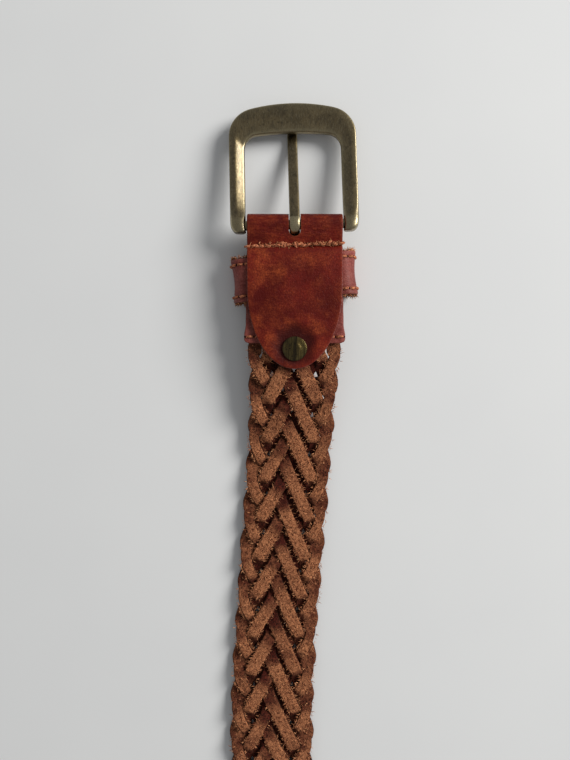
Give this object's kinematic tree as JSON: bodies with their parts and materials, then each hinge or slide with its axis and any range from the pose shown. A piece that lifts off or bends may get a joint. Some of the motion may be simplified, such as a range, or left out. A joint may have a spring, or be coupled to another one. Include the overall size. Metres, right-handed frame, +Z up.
{
  "type": "braided leather belt with a heel-bar prong buckle",
  "caption": "Flat belt braided from leather thongs, with a heel-bar prong buckle on a folded leather chape, a keeper loop and a plain stitched tip, lying face down.",
  "frame": {"origin": "middle of the belt's underside, on the surface that it lies on", "axes": "+Y along the belt towards the buckle, +Z up through its thickness, from the belt's front to its back"},
  "size_m": [0.057, 1.04, 0.0174],
  "materials": {
    "buckle_brass": "dark antique brass, rubbed bright on the edges",
    "screw_brass": "antique brass, brushed",
    "chape_leather": "smooth red-brown vegetable-tanned leather, waxed",
    "facing_leather": "smooth dusty red-brown leather",
    "split_leather": "flesh side, nubby suede"
  },
  "bodies": {
    "strap": {"chape": "chape_leather", "front_facing": "facing_leather", "back_facing": "facing_leather", "keeper": "facing_leather", "screw": "screw_brass", "screw_post": "screw_brass", "tip_front": "chape_leather", "tip_back": "chape_leather", "strand_1": "split_leather", "strand_2": "split_leather", "strand_3": "split_leather", "strand_4": "split_leather", "strand_5": "split_leather", "strand_6": "split_leather", "strand_7": "split_leather", "strand_8": "split_leather"},
    "buckle": {"buckle_frame": "buckle_brass", "heel_bar": "buckle_brass"},
    "prong": {"prong": "buckle_brass"}
  },
  "joints": [
    {"name": "buckle_hinge", "type": "hinge", "parent": "strap", "child": "buckle", "pos_m": [0.00089, 0.46792, 0.012], "axis": [0.9997, 0.0244, 0], "range_deg": [-30, 90]},
    {"name": "prong_hinge", "type": "hinge", "parent": "buckle", "child": "prong", "pos_m": [0.00089, 0.46792, 0.012], "axis": [-0.9997, -0.0244, 0], "range_deg": [0, 90]}
  ]
}
